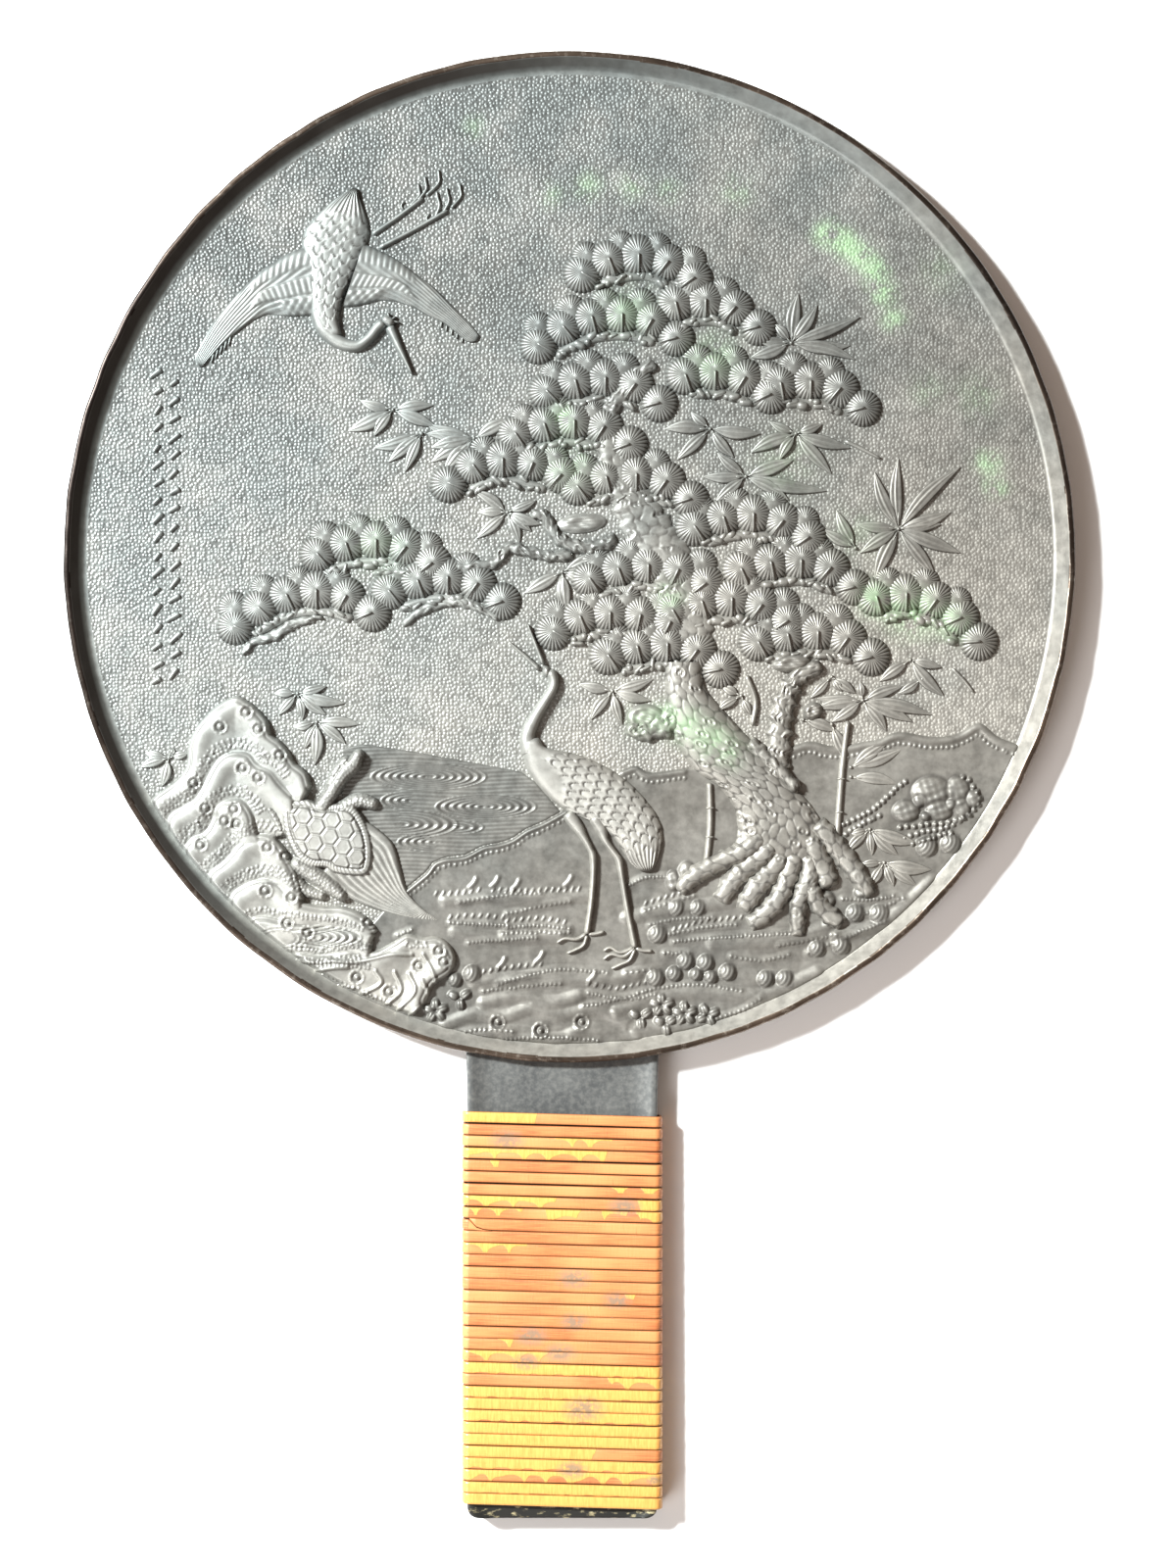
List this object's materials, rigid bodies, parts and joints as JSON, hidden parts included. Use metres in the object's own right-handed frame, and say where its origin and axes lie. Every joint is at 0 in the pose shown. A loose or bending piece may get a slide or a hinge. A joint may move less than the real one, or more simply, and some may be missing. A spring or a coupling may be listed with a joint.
{
  "type": "bronze hand mirror",
  "caption": "Round cast bronze hand mirror with a flat handle bound in split rattan, its back cast with pine, bamboo, cranes, a tortoise, rocks and water.",
  "frame": {"origin": "centre of the disc on the flat polished mirror face", "axes": "+Z out of the relief on the back; +Y in the disc's plane, away from the handle, to the top of the relief picture; +X to the right of the picture"},
  "size_m": [0.212, 0.3075, 0.0072],
  "materials": {
    "bronze": "cast bronze with a dull grey-olive patina and green verdigris in patches",
    "rattan": "split rattan skin, orange-tan, satin, worn to grey in patches"
  },
  "bodies": {
    "root": {"mirror_casting": "bronze", "upper_binding": "rattan", "lower_binding": "rattan"}
  },
  "joints": []
}
